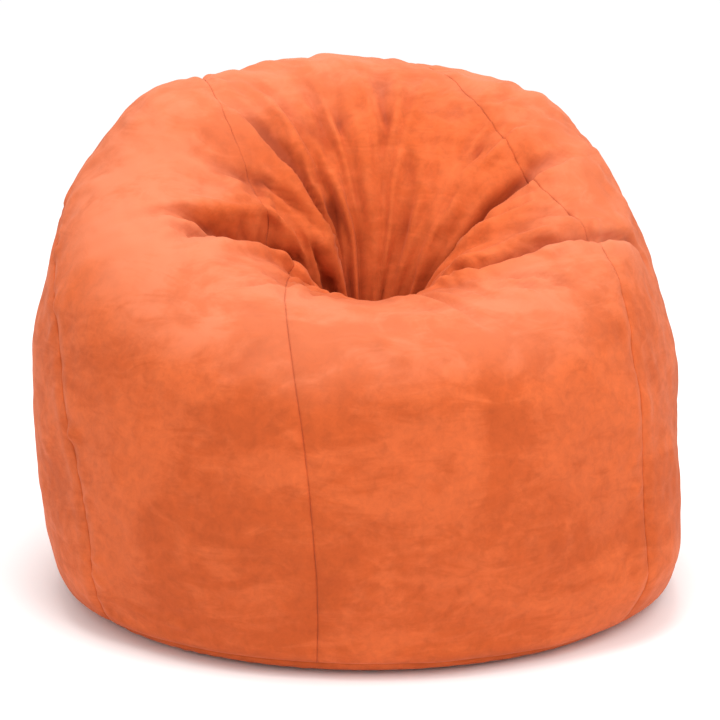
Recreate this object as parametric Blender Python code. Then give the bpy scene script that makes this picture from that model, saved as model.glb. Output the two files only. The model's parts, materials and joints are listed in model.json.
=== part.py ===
"""Bean bag chair: a sewn cover, a zipped inner liner and a shredded foam fill.

Metres, +Z up.  The origin is on the floor, under the middle of the chair, and a sitter faces -Y.
"""
import functools
import math

import bmesh
import bpy
from mathutils import Matrix, Vector

# ---- body: a ball with a flat foot, cut back by a slope ----------------------------------------
BODY_WIDTH = 1.086
BODY_DEPTH = 0.994
WIDEST_HEIGHT = 0.284
CROWN_RISE = 0.619            # height of the crown over the widest height, before a sitter dents it
FOOT_DROP = 0.619             # how far under the widest height the ball would close without a floor
CROWN_FULLNESS = 2.360        # 2 is an ellipse, more is squarer
FOOT_FULLNESS = 2.610
SIDE_LEAN = -0.044            # sideways lean of the crown, per metre of height
BACK_LEAN = 0.115             # backward lean of the crown, per metre of height
FOOT_ROUNDING = 0.060

# ---- what a sitter leaves: a slope down to the front, and a pit that draws the cover in ---------
SLOPE_HEIGHT = 0.755          # over the middle of the chair
SLOPE_RISE = 0.560            # per metre towards the back
SLOPE_ROUNDING = 0.090
PIT_PLACE = (0.020, -0.050, 0.420)
PIT_LEAN = 0.300              # towards the sitter, per metre of height
PIT_DEPTH = 0.400
PIT_REACH_BESIDE = 0.120      # the pit is a third as deep this far from its line
PIT_REACH_ALONG = 0.090
PIT_REACH_BELOW = 0.120       # the same, straight down from the pit's place
PIT_BLUNTNESS = 0.010

# ---- sewing pattern ----------------------------------------------------------------------------
COVER_PANELS = 6
LINER_PANELS = 4
PANEL_STEPS = 36              # facets round the body, shared by every layer
CAP_ANGLE = math.radians(18.0)
BASE_SEAM_ANGLE = math.radians(111.0)
CONTACT_ANGLE = math.radians(117.0)
CAP_TILT = math.radians(62.0)     # the cap sits on the rear slope
BAG_TURN = math.radians(24.0)     # the bag's own front panel stands a little to one side
FRONT_SPREAD = 0.07               # how much wider the panels in front have settled than those behind
LEFT_SEAM_DRAWN = math.radians(15.0)  # how far the left side's seam has been pulled round to the front
LEFT_SEAM_REACH = math.radians(60.0)  # and how far round the bag that is felt
CAP_RINGS = 2
SIDE_RINGS = 16
CORNER_RINGS = 2
BASE_RINGS = 4
CORE_HEIGHT = 0.200               # the layers are measured outwards from this inner point
SMOOTHING_PASSES = 2
STEEPEST_SLOPE = 0.35

# ---- layers ------------------------------------------------------------------------------------
COVER_THICKNESS = 0.0025
LINER_THICKNESS = 0.0010
COVER_TO_LINER = 0.0030
LINER_TO_FOAM = 0.0020
SEAM_GAP = 0.0007
FIT = 0.0003                      # gap between pieces that touch

# ---- zips --------------------------------------------------------------------------------------
SLIT_HALF_WIDTH = 0.0075
GARAGE_LENGTH = 0.075             # fabric tab that closes each end of the slit
TAPE_WIDTH = 0.016
TAPE_THICKNESS = 0.0006
TEETH_WIDTH = 0.0022
TEETH_HEIGHT = 0.0018
TEETH_HALF_GAP = 0.0007
SLIDER_LENGTH = 0.012
SLIDER_WIDTH = 0.0100
SLIDER_PLATE = 0.0007
SLIDER_WEB = 0.0008
SLIDER_WEB_LENGTH = 0.0040
STOP_LENGTH = 0.0030
PULL_LENGTH = 0.0220
PULL_ROOM = 0.0120                # slit left past each stop, for the pull at the open end
PULL_WIDTH = 0.0065
PULL_THICKNESS = 0.0007
LUG_WIDTH = 0.0010
ZIP_TO_LINER = 0.0015

# ---- finishes ----------------------------------------------------------------------------------
SUEDE = ("orange_microsuede", (0.745, 0.135, 0.042), 0.85, 0.0)
LINER_CLOTH = ("white_liner_cloth", (0.80, 0.78, 0.74), 0.80, 0.0)
FOAM = ("shredded_foam", (0.82, 0.68, 0.42), 0.95, 0.0)
TAPE_CLOTH = ("orange_zip_tape", (0.600, 0.110, 0.040), 0.75, 0.0)
NYLON = ("orange_nylon_teeth", (0.560, 0.100, 0.035), 0.40, 0.0)
WHITE_NYLON = ("white_nylon_teeth", (0.78, 0.77, 0.74), 0.40, 0.0)
METAL = ("zinc_slider", (0.55, 0.55, 0.57), 0.30, 1.0)


def clear_scene():
    for item in list(bpy.data.objects):
        bpy.data.objects.remove(item)
    for group in list(bpy.data.collections):
        bpy.data.collections.remove(group)


def make_material(finish):
    name, colour, roughness, metallic = finish
    found = bpy.data.materials.get(name)
    if found:
        return found
    material = bpy.data.materials.new(name)
    material.use_nodes = True
    shader = material.node_tree.nodes["Principled BSDF"]
    shader.inputs["Base Color"].default_value = (*colour, 1.0)
    shader.inputs["Roughness"].default_value = roughness
    shader.inputs["Metallic"].default_value = metallic
    return material


def finish_node(name, bm, finish, collection, parent=None, smooth=True):
    mesh = bpy.data.meshes.new(name)
    bm.to_mesh(mesh)
    bm.free()
    mesh.materials.append(make_material(finish))
    if smooth:
        mesh.shade_smooth()
        mesh.set_sharp_from_angle(angle=math.radians(40.0))
    node = bpy.data.objects.new(name, mesh)
    collection.objects.link(node)
    if parent:
        node.parent = parent
        node.matrix_parent_inverse = Matrix.Translation(-parent.location)
    return node


# ---- body shape --------------------------------------------------------------------------------
def soft_max(a, b, reach):
    """The larger of two fields, rounded where they cross."""
    share = min(1.0, max(0.0, 0.5 + 0.5 * (a - b) / reach))
    return b + (a - b) * share + reach * share * (1.0 - share)


def body_field(point):
    """Roughly the distance outside the chair's outer surface; negative inside."""
    x, y, z = point
    rise = z - WIDEST_HEIGHT
    upper = rise > 0.0
    half_height, power = (CROWN_RISE, CROWN_FULLNESS) if upper else (FOOT_DROP, FOOT_FULLNESS)
    back = BACK_LEAN * rise if upper else 0.0
    across = math.hypot((x - SIDE_LEAN * rise) / (BODY_WIDTH / 2), (y - back) / (BODY_DEPTH / 2))
    ball = ((across ** power + abs(rise / half_height) ** power) ** (1.0 / power) - 1.0) * BODY_WIDTH / 2
    standing = soft_max(ball, -z, FOOT_ROUNDING)
    slope = (z - SLOPE_HEIGHT - SLOPE_RISE * y) / math.hypot(1.0, SLOPE_RISE)
    return soft_max(standing, slope, SLOPE_ROUNDING) + pit_depth(point)


def pit_depth(point):
    """How far the pit draws the surface in, which fades away from the pit's own line."""
    line = Vector((0.0, -PIT_LEAN, 1.0)).normalized()
    across = Vector((0.0, line.z, -line.y))
    reach = Vector(point) - Vector(PIT_PLACE)
    aside = reach.x / PIT_REACH_BESIDE
    ahead = reach.dot(across) / PIT_REACH_ALONG
    below = min(0.0, reach.dot(line)) / PIT_REACH_BELOW
    return PIT_DEPTH * math.exp(-math.sqrt(aside ** 2 + ahead ** 2 + below ** 2 + PIT_BLUNTNESS ** 2))


def surface_radius(direction):
    """Distance from the core to the outer surface along a direction."""
    core = Vector((0.0, 0.0, CORE_HEIGHT))
    near = 0.0
    far = BODY_WIDTH + CROWN_RISE
    for _ in range(40):
        middle = (near + far) / 2
        outside = body_field(core + direction * middle) > 0.0
        near, far = (near, middle) if outside else (middle, far)
    return near


def bag_direction(turn, fall):
    """World direction of a pattern point: `turn` round the bag, `fall` down from the cap's middle.

    The pattern's top is tipped back by CAP_TILT, less and less towards the base seam.
    """
    turn += FRONT_SPREAD * math.sin(turn)
    from_left = min(1.0, abs(wrapped(turn + math.pi / 2)) / LEFT_SEAM_REACH)
    turn += LEFT_SEAM_DRAWN * math.cos(from_left * math.pi / 2) ** 2
    straight = Vector((math.sin(fall) * math.sin(turn), -math.sin(fall) * math.cos(turn), math.cos(fall)))
    tilt = CAP_TILT * max(0.0, 1.0 - fall / BASE_SEAM_ANGLE)
    tilted = Matrix.Rotation(-tilt, 3, "X") @ straight
    return Matrix.Rotation(BAG_TURN, 3, "Z") @ tilted


def ring_fall(step):
    """Angle down from the cap's middle of ring number `step`."""
    knots = (
        (0, 0.0),
        (CAP_RINGS, CAP_ANGLE),
        (CAP_RINGS + SIDE_RINGS, BASE_SEAM_ANGLE),
        (CAP_RINGS + SIDE_RINGS + CORNER_RINGS, CONTACT_ANGLE),
        (CAP_RINGS + SIDE_RINGS + CORNER_RINGS + BASE_RINGS, math.pi),
    )
    for (start, start_fall), (end, end_fall) in zip(knots, knots[1:]):
        if step <= end:
            return start_fall + (end_fall - start_fall) * (step - start) / (end - start)
    return math.pi


def pattern_ball():
    """A sphere and, for each vertex, its marks: turn and fall in the pattern, and its number."""
    rings = CAP_RINGS + SIDE_RINGS + CORNER_RINGS + BASE_RINGS
    bm = bmesh.new()
    bmesh.ops.create_uvsphere(bm, u_segments=PANEL_STEPS, v_segments=rings, radius=1.0)
    # The same diagonals in every layer keep each facet of one layer over its own facet of the next.
    bmesh.ops.triangulate(bm, faces=list(bm.faces), quad_method="FIXED")
    marks = {}
    for number, vertex in enumerate(bm.verts):
        turn = math.atan2(vertex.co.x, -vertex.co.y)
        step = round(math.acos(max(-1.0, min(1.0, vertex.co.z))) / math.pi * rings)
        marks[vertex] = (turn, ring_fall(step), number)
    return bm, marks


@functools.lru_cache
def outer_shape():
    """Radius of the outer surface and its slope to the ray, for every vertex of the pattern ball."""
    bm, marks = pattern_ball()
    rays = [bag_direction(turn, fall) for turn, fall, _ in marks.values()]
    on_floor = [fall > CONTACT_ANGLE - 1e-6 for _, fall, _ in marks.values()]
    radii = [surface_radius(ray) for ray in rays]
    for number, ray in enumerate(rays):
        if on_floor[number]:
            radii[number] = CORE_HEIGHT / -ray.z
    near = [[marks[edge.other_vert(v)][2] for edge in v.link_edges] for v in marks]
    for _ in range(SMOOTHING_PASSES):
        means = [sum(radii[other] for other in others) / len(others) for others in near]
        radii = [r if flat else (r + mean) / 2 for r, mean, flat in zip(radii, means, on_floor)]
    for vertex, ray, radius in zip(bm.verts, rays, radii):
        vertex.co = ray * radius
    bm.normal_update()
    slopes = [
        -ray.z if flat else max(STEEPEST_SLOPE, vertex.normal.dot(ray))
        for vertex, ray, flat in zip(bm.verts, rays, on_floor)
    ]
    bm.free()
    return radii, slopes


def layer_point(mark, inset, floor):
    """A pattern point on the surface `inset` inside the outer one, which stands at height `floor`."""
    turn, fall, number = mark
    radii, slopes = outer_shape()
    standing = min(1.0, max(0.0, (fall - BASE_SEAM_ANGLE) / (CONTACT_ANGLE - BASE_SEAM_ANGLE)))
    depth = inset + (floor - inset) * standing
    ray = bag_direction(turn, fall)
    return Vector((0.0, 0.0, CORE_HEIGHT)) + ray * (radii[number] - depth / slopes[number])


def wrapped(angle):
    return (angle + math.pi) % (2 * math.pi) - math.pi


def face_angles(face, marks):
    """Mean turn and fall of a face, with the turn averaged round the circle."""
    x = sum(math.sin(marks[v][0]) * math.sin(marks[v][1]) for v in face.verts)
    y = sum(math.cos(marks[v][0]) * math.sin(marks[v][1]) for v in face.verts)
    fall = sum(marks[v][1] for v in face.verts) / len(face.verts)
    return math.atan2(x, y), fall


def cut_to_piece(bm, marks, middle, half_turn, top, bottom):
    """Keep the faces of one pattern piece, and draw its edges in by half a seam gap."""
    spare = []
    for face in bm.faces:
        turn, fall = face_angles(face, marks)
        beside = half_turn is not None and abs(wrapped(turn - middle)) > half_turn
        if beside or not top < fall < bottom:
            spare.append(face)
    bmesh.ops.delete(bm, geom=spare, context="FACES")
    tiny = math.radians(0.01)
    half_gap = SEAM_GAP / BODY_WIDTH
    for vertex in bm.verts:
        turn, fall, number = marks[vertex]
        offset = wrapped(turn - middle)
        if half_turn is not None and abs(abs(offset) - half_turn) < tiny:
            turn -= math.copysign(half_gap / max(0.2, math.sin(fall)), offset)
        if abs(fall - top) < tiny:
            fall += half_gap
        if abs(fall - bottom) < tiny:
            fall -= half_gap
        marks[vertex] = (turn, fall, number)


def thicken(bm, marks, inset, floor, thickness):
    """Place a pattern piece on its surface and give it an inner face along the same rays."""
    kept = list(bm.verts)
    copy = bmesh.ops.duplicate(bm, geom=kept + list(bm.edges) + list(bm.faces))
    twins = copy["vert_map"]
    for vertex in kept:
        vertex.co = layer_point(marks[vertex], inset, floor)
        twins[vertex].co = layer_point(marks[vertex], inset + thickness, floor + thickness)
    inner = [item for item in copy["geom"] if isinstance(item, bmesh.types.BMFace)]
    bmesh.ops.reverse_faces(bm, faces=inner)
    outer_rim = [edge for edge in bm.edges if edge.is_boundary and edge.verts[0] in marks]
    for edge in outer_rim:
        first = edge.link_loops[0].vert
        second = edge.link_loops[0].link_loop_next.vert
        bm.faces.new((second, first, twins[first], twins[second]))


def side_panel(name, number, count, inset, floor, thickness, finish, collection):
    bm, marks = pattern_ball()
    middle = 2 * math.pi * number / count
    cut_to_piece(bm, marks, middle, math.pi / count, CAP_ANGLE, BASE_SEAM_ANGLE)
    thicken(bm, marks, inset, floor, thickness)
    finish_node(name, bm, finish, collection)


def cap_panel(name, inset, floor, thickness, finish, collection):
    bm, marks = pattern_ball()
    cut_to_piece(bm, marks, 0.0, None, 0.0, CAP_ANGLE)
    thicken(bm, marks, inset, floor, thickness)
    finish_node(name, bm, finish, collection)


def base_piece(name, cuts, inset, floor, thickness, finish, collection):
    """Part of the base; each cut is (point, direction of what is cut away)."""
    bm, marks = pattern_ball()
    cut_to_piece(bm, marks, 0.0, None, BASE_SEAM_ANGLE, math.pi)
    thicken(bm, marks, inset, floor, thickness)
    for point, away in cuts:
        everything = list(bm.verts) + list(bm.edges) + list(bm.faces)
        cut = bmesh.ops.bisect_plane(
            bm, geom=everything, dist=1e-7, plane_co=point, plane_no=away, clear_outer=True
        )
        rim = [item for item in cut["geom_cut"] if isinstance(item, bmesh.types.BMEdge)]
        bmesh.ops.holes_fill(bm, edges=rim, sides=0)
    bmesh.ops.triangulate(bm, faces=list(bm.faces))
    bmesh.ops.recalc_face_normals(bm, faces=list(bm.faces))
    finish_node(name, bm, finish, collection, smooth=False)


# ---- zips --------------------------------------------------------------------------------------
def add_box(bm, low, high):
    made = bmesh.ops.create_cube(bm, size=1.0)
    centre = (Vector(low) + Vector(high)) / 2
    size = Vector(high) - Vector(low)
    for vertex in made["verts"]:
        vertex.co = Vector((vertex.co.x * size.x, vertex.co.y * size.y, vertex.co.z * size.z)) + centre
    return made["verts"]


def box_node(name, low, high, finish, collection, spin, parent=None, bevel=0.0):
    bm = bmesh.new()
    add_box(bm, low, high)
    if bevel:
        bmesh.ops.bevel(
            bm, geom=list(bm.edges), offset=bevel, segments=1, profile=0.5, affect="EDGES", material=-1
        )
    bmesh.ops.transform(bm, matrix=spin, verts=list(bm.verts))
    return finish_node(name, bm, finish, collection, parent, smooth=False)


def zip_heights(fabric_top):
    """Heights of a zip sewn over a slit whose fabric ends at `fabric_top`."""
    tape_low = fabric_top + FIT
    tape_middle = tape_low + TAPE_THICKNESS / 2
    teeth_low = tape_middle - TEETH_HEIGHT / 2
    teeth_high = tape_middle + TEETH_HEIGHT / 2
    return {
        "tape": (tape_low, tape_low + TAPE_THICKNESS),
        "teeth": (teeth_low, teeth_high),
        "lower_plate": (teeth_low - FIT - SLIDER_PLATE, teeth_low - FIT),
        "upper_plate": (teeth_high + FIT, teeth_high + FIT + SLIDER_PLATE),
    }


def zip_rows(prefix, sides, half_length, heights, spin, tape_finish, teeth_finish, collection):
    """Two tapes and two rows of teeth, closed against each other along local X."""
    for side, sign in zip(sides, (-1.0, 1.0)):
        tape_in = TEETH_HALF_GAP + TEETH_WIDTH + FIT
        tape_y = sorted((sign * tape_in, sign * (tape_in + TAPE_WIDTH)))
        teeth_y = sorted((sign * TEETH_HALF_GAP, sign * (TEETH_HALF_GAP + TEETH_WIDTH)))
        box_node(
            f"{prefix}_zip_tape_{side}",
            (-half_length, tape_y[0], heights["tape"][0]),
            (half_length, tape_y[1], heights["tape"][1]),
            tape_finish, collection, spin,
        )
        box_node(
            f"{prefix}_zip_teeth_{side}",
            (-half_length, teeth_y[0], heights["teeth"][0]),
            (half_length, teeth_y[1], heights["teeth"][1]),
            teeth_finish, collection, spin, bevel=TEETH_HEIGHT / 5,
        )


def zip_stops(prefix, half_length, heights, spin, collection):
    reach = TEETH_HALF_GAP + TEETH_WIDTH
    for label, sign in (("closed", 1.0), ("open", -1.0)):
        ends = sorted((sign * (half_length + FIT), sign * (half_length + FIT + STOP_LENGTH)))
        box_node(
            f"{prefix}_zip_stop_{label}_end",
            (ends[0], -reach, heights["teeth"][0]),
            (ends[1], reach, heights["teeth"][1]),
            METAL, collection, spin, bevel=TEETH_HEIGHT / 6,
        )


def moving_frame(name, place, spin, collection):
    """An empty on a joint's line, which the pieces that move about it follow."""
    frame = bpy.data.objects.new(name, None)
    frame.location = spin @ Vector(place)
    collection.objects.link(frame)
    return frame


def zip_slider(name, at, heights, spin, collection, parent, lug_drop=0.0):
    """Two plates round the teeth, joined by a web that runs between the rows.

    With `lug_drop` it also has two lugs under it, which hold a pull.
    """
    bm = bmesh.new()
    half = SLIDER_LENGTH / 2
    for plate in ("lower_plate", "upper_plate"):
        low, high = heights[plate]
        verts = add_box(bm, (at - half, -SLIDER_WIDTH / 2, low), (at + half, SLIDER_WIDTH / 2, high))
        edges = {edge for vertex in verts for edge in vertex.link_edges}
        upright = [edge for edge in edges if abs(edge.verts[0].co.z - edge.verts[1].co.z) > 1e-6]
        bmesh.ops.bevel(
            bm, geom=upright, offset=SLIDER_WIDTH / 5, segments=3, profile=0.5, affect="EDGES", material=-1
        )
    bmesh.ops.transform(bm, matrix=spin, verts=list(bm.verts))
    slider = finish_node(name, bm, METAL, collection, parent, smooth=False)
    overlap = SLIDER_PLATE / 3
    additions = [
        (
            (at - SLIDER_WEB_LENGTH / 2, -SLIDER_WEB / 2, heights["lower_plate"][1] - overlap),
            (at + SLIDER_WEB_LENGTH / 2, SLIDER_WEB / 2, heights["upper_plate"][0] + overlap),
        )
    ]
    if lug_drop:
        inner = PULL_WIDTH / 2 + FIT
        for sign in (-1.0, 1.0):
            lug_y = sorted((sign * inner, sign * (inner + LUG_WIDTH)))
            additions.append(
                (
                    (at + half - 3 * LUG_WIDTH, lug_y[0], heights["lower_plate"][0] - lug_drop),
                    (at + half - LUG_WIDTH, lug_y[1], heights["lower_plate"][0] + overlap),
                )
            )
    cutters = collection_named("Beanbag_cutters")
    for number, (low, high) in enumerate(additions):
        helper = box_node(f"{name}_joined_{number}", low, high, METAL, cutters, spin)
        helper.hide_render = True
        helper.display_type = "WIRE"
        union = slider.modifiers.new(f"join_{number}", "BOOLEAN")
        union.operation = "UNION"
        union.solver = "EXACT"
        union.object = helper
    return slider


def pull_tab(name, at, hinge_height, spin, collection, parent):
    """A flat tab with a round end on its hinge line, lying under the slider and the teeth."""
    bm = bmesh.new()
    made = bmesh.ops.create_cone(
        bm, cap_ends=True, segments=16, radius1=PULL_THICKNESS / 2, radius2=PULL_THICKNESS / 2,
        depth=PULL_WIDTH - 2 * FIT,
    )
    turn = Matrix.Translation((at, 0.0, hinge_height)) @ Matrix.Rotation(math.pi / 2, 4, "X")
    bmesh.ops.transform(bm, matrix=turn, verts=made["verts"])
    bmesh.ops.transform(bm, matrix=spin, verts=list(bm.verts))
    pull = finish_node(name, bm, METAL, collection, parent, smooth=False)
    plate = box_node(
        f"{name}_plate",
        (at - PULL_LENGTH, -PULL_WIDTH / 2 + FIT, hinge_height - PULL_THICKNESS / 3),
        (at, PULL_WIDTH / 2 - FIT, hinge_height + PULL_THICKNESS / 3),
        METAL, collection_named("Beanbag_cutters"), spin,
    )
    plate.hide_render = True
    plate.display_type = "WIRE"
    union = pull.modifiers.new("plate", "BOOLEAN")
    union.operation = "UNION"
    union.solver = "EXACT"
    union.object = plate
    return pull


def collection_named(name):
    found = bpy.data.collections.get(name)
    if found is None:
        found = bpy.data.collections.new(name)
        bpy.context.scene.collection.children.link(found)
    return found


def seam_reach(inset, floor):
    """Distance from the Z axis to the nearest point of a layer's base seam."""
    _, marks = pattern_ball()
    ring = [mark for mark in marks.values() if abs(mark[1] - BASE_SEAM_ANGLE) < 1e-6]
    return min(layer_point(mark, inset, floor).to_2d().length for mark in ring)


# ---- the chair ---------------------------------------------------------------------------------
def base_with_zip(prefix, sides, layer, spin, cloths, with_pull, collection):
    """Two base halves, the zip between them along local X, and a fabric tab over each zip end.

    Returns the height of the zip's highest point.
    """
    inset, floor, thickness = layer
    cloth, tape_finish, teeth_finish = cloths
    slit = SLIT_HALF_WIDTH
    tab_start = seam_reach(inset, floor) - GARAGE_LENGTH
    tab_side = slit - SEAM_GAP
    pieces = {
        f"{prefix}_base_{sides[0]}": [((0, -slit, 0), (0, 1, 0))],
        f"{prefix}_base_{sides[1]}": [((0, slit, 0), (0, -1, 0))],
    }
    for end, sign in (("closed_end", 1.0), ("open_end", -1.0)):
        pieces[f"{prefix}_zip_garage_{end}"] = [
            ((sign * tab_start, 0, 0), (-sign, 0, 0)),
            ((0, tab_side, 0), (0, 1, 0)),
            ((0, -tab_side, 0), (0, -1, 0)),
        ]
    for name, cuts in pieces.items():
        turned = [(spin @ Vector(point), spin @ Vector(away)) for point, away in cuts]
        base_piece(name, turned, inset, floor, thickness, cloth, collection)
    heights = zip_heights(floor + thickness)
    half_length = tab_start - PULL_ROOM - STOP_LENGTH - FIT
    zip_rows(prefix, sides, half_length, heights, spin, tape_finish, teeth_finish, collection)
    zip_stops(prefix, half_length, heights, spin, collection)
    at = half_length - SLIDER_LENGTH / 2 - FIT
    frame = moving_frame(f"{prefix}_slider_frame", (at, 0.0, sum(heights["teeth"]) / 2), spin, collection)
    drop = heights["lower_plate"][0] - FIT
    zip_slider(f"{prefix}_zip_slider", at, heights, spin, collection, frame, drop if with_pull else 0.0)
    if with_pull:
        hinge = at + SLIDER_LENGTH / 2 - 2 * LUG_WIDTH
        hinge_height = heights["lower_plate"][0] - FIT - PULL_THICKNESS / 2
        pull_frame = moving_frame(f"{prefix}_pull_frame", (hinge, 0.0, hinge_height), spin, collection)
        pull_tab(f"{prefix}_zip_pull", hinge, hinge_height, spin, collection, pull_frame)
    return heights["upper_plate"][1]


def build_cover(collection):
    for number in range(COVER_PANELS):
        side_panel(
            f"cover_panel_{number + 1}", number, COVER_PANELS, 0.0, 0.0, COVER_THICKNESS, SUEDE, collection
        )
    cap_panel("cover_cap", 0.0, 0.0, COVER_THICKNESS, SUEDE, collection)
    layer = (0.0, 0.0, COVER_THICKNESS)
    cloths = (SUEDE, TAPE_CLOTH, NYLON)
    spin = Matrix.Identity(4)
    return base_with_zip("cover", ("front", "back"), layer, spin, cloths, True, collection)


def build_liner(collection, floor):
    """The liner: its zip runs front to back, across the cover's, and has no pull."""
    inset = COVER_THICKNESS + COVER_TO_LINER
    for number in range(LINER_PANELS):
        side_panel(
            f"liner_panel_{number + 1}", number, LINER_PANELS, inset, floor, LINER_THICKNESS,
            LINER_CLOTH, collection,
        )
    cap_panel("liner_cap", inset, floor, LINER_THICKNESS, LINER_CLOTH, collection)
    layer = (inset, floor, LINER_THICKNESS)
    cloths = (LINER_CLOTH, LINER_CLOTH, WHITE_NYLON)
    spin = Matrix.Rotation(math.pi / 2, 4, "Z")
    return base_with_zip("liner", ("right", "left"), layer, spin, cloths, False, collection)


def build_foam(collection, floor):
    inset = COVER_THICKNESS + COVER_TO_LINER + LINER_THICKNESS + LINER_TO_FOAM
    bm, marks = pattern_ball()
    for vertex in bm.verts:
        vertex.co = layer_point(marks[vertex], inset, floor)
    finish_node("foam_fill", bm, FOAM, collection)


def main():
    clear_scene()
    chair = collection_named("Beanbag_chair")
    cover_zip_top = build_cover(chair)
    liner_zip_top = build_liner(chair, cover_zip_top + ZIP_TO_LINER)
    build_foam(chair, liner_zip_top + ZIP_TO_LINER)


main()
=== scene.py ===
"""Looks of a bean bag chair: a brushed suede cover with its seams, folds and zips, a liner and foam."""
import functools
import json
import math

import bmesh
import bpy
import numpy as np
from mathutils import Matrix, Vector


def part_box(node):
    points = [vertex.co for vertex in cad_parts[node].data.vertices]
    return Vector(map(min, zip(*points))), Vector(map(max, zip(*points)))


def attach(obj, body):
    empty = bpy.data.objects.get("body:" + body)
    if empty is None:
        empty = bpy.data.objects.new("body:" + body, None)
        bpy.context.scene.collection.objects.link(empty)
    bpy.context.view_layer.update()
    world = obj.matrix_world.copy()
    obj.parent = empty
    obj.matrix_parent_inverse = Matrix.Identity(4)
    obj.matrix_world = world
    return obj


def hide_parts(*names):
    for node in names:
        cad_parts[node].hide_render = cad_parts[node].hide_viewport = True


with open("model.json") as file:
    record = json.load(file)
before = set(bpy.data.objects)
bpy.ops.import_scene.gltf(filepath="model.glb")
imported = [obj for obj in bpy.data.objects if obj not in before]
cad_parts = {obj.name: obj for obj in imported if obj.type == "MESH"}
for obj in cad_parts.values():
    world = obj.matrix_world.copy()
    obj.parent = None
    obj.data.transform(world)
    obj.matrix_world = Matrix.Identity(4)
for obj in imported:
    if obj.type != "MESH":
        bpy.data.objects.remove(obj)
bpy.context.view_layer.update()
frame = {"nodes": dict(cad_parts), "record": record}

bl_info = {
    "name": "Bean Bag Chair",
    "version": (1, 0, 0),
    "blender": (4, 5, 0),
    "location": "View3D > Sidebar > Bean Bag",
    "description": "Builds the cover, liner, foam and zips of a bean bag chair",
    "category": "Add Mesh",
}

# ---- body: a ball with a flat foot, cut back by a slope, with a pit that draws the cover in -----
CORE = np.array((0.0, 0.0, 0.200))
BODY_WIDTH, BODY_DEPTH = 1.086, 0.994
WIDEST_HEIGHT, CROWN_RISE, FOOT_DROP = 0.284, 0.619, 0.619
CROWN_FULLNESS, FOOT_FULLNESS = 2.360, 2.610
SIDE_LEAN, BACK_LEAN = -0.044, 0.115
FOOT_ROUNDING = 0.060
SLOPE_HEIGHT, SLOPE_RISE, SLOPE_ROUNDING = 0.755, 0.560, 0.090
PIT_PLACE = np.array((0.020, -0.050, 0.420))
PIT_LEAN, PIT_DEPTH = 0.300, 0.400
PIT_REACH_BESIDE, PIT_REACH_ALONG, PIT_REACH_BELOW = 0.120, 0.090, 0.120

# ---- sewing pattern ----------------------------------------------------------------------------
PANELS, LINER_PANELS = 6, 4
CAP_ANGLE = math.radians(18.0)
BASE_SEAM_ANGLE = math.radians(111.0)
CONTACT_ANGLE = math.radians(117.0)
CAP_TILT = math.radians(62.0)
BAG_TURN = math.radians(24.0)
FRONT_SPREAD = 0.07
LEFT_SEAM_DRAWN = math.radians(15.0)
LEFT_SEAM_REACH = math.radians(60.0)

# ---- cloth grid --------------------------------------------------------------------------------
COLUMNS = 180
RING_COUNTS = (10, 104, 6, 10)        # cap, sides, rounded foot, base
FINE = 1e-9

# Creases pressed in round the pit: (place, side angle, away angle) at the near and the far end,
# half width and depth.  Side angles run round the pit from the back, away angles from the pit.
CREASES = (
    ((-74, 14), (-107, 40), 2.4, 0.034),
    ((-90, 25), (-99, 44), 1.5, 0.011),
    ((-44, 11), (-51, 35), 1.5, 0.015),
    ((-62, 12), (-74, 27), 1.3, 0.012),
    ((78, 12), (62, 31), 2.9, 0.030),
    ((130, 21), (96, 33), 2.0, 0.024),
    ((108, 28), (84, 45), 1.6, 0.014),
    ((134, 31), (116, 38), 1.3, 0.009),
    ((34, 9), (2, 22), 1.4, 0.008),
    ((54, 9), (26, 19), 1.3, 0.008),
    ((-20, 10), (-26, 30), 1.4, 0.007),
)


# Thin sharp folds that follow the broad creases, listed in the same way.
SHARP_FOLDS = (
    ((-79, 13), (-106, 41), 0.9, 0.0090),
    ((-70, 12), (-97, 34), 0.8, 0.0080),
    ((-64, 12), (-86, 29), 0.8, 0.0075),
    ((-57, 12), (-72, 33), 0.8, 0.0075),
    ((-46, 12), (-52, 34), 0.8, 0.0080),
    ((-37, 12), (-40, 36), 0.7, 0.0055),
    ((-26, 11), (-31, 33), 0.7, 0.0045),
    ((-93, 27), (-98, 45), 0.8, 0.0060),
    ((77, 13), (63, 33), 0.9, 0.0090),
    ((88, 14), (80, 30), 0.8, 0.0070),
    ((126, 20), (98, 34), 0.8, 0.0080),
    ((106, 27), (86, 47), 0.8, 0.0065),
    ((131, 29), (118, 40), 0.8, 0.0060),
    ((9, 8), (28, 17), 0.8, 0.0055),
    ((38, 8), (50, 18), 0.8, 0.0055),
    ((-150, 22), (-128, 40), 0.8, 0.0050),
    ((160, 24), (148, 40), 0.8, 0.0045),
)

SEAM_OVERLAP = 0.002                   # neighbouring panels share this much of their width

# The top's soft corners and the fuller or slacker parts of the sides: (place, radius, height)
SWELLS = (
    ((-0.30, 0.12, 0.72), 0.10, 0.046),
    ((0.27, 0.20, 0.72), 0.10, 0.034),
    ((0.42, 0.05, 0.58), 0.15, -0.018),
    ((0.52, 0.02, 0.20), 0.14, -0.026),
    ((-0.52, 0.02, 0.19), 0.11, -0.008),
    ((0.40, -0.24, 0.09), 0.13, 0.030),
    ((-0.42, -0.22, 0.09), 0.12, 0.020),
    ((-0.05, -0.15, 0.60), 0.060, 0.040),
    ((0.13, -0.15, 0.60), 0.060, 0.040),
    ((0.035, -0.20, 0.60), 0.050, -0.034),
)

# ---- layers under the cover ----
LINER_INSET = 0.0130
FOAM_INSET = 0.0200

# ---- finishes and fills ----
LINER_THREADS, TAPE_THREADS = 2600.0, 4200.0
COIL_PITCH = 0.0016
NYLON_ORANGE = (0.560, 0.100, 0.035)
NYLON_WHITE = (0.78, 0.77, 0.74)

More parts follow.
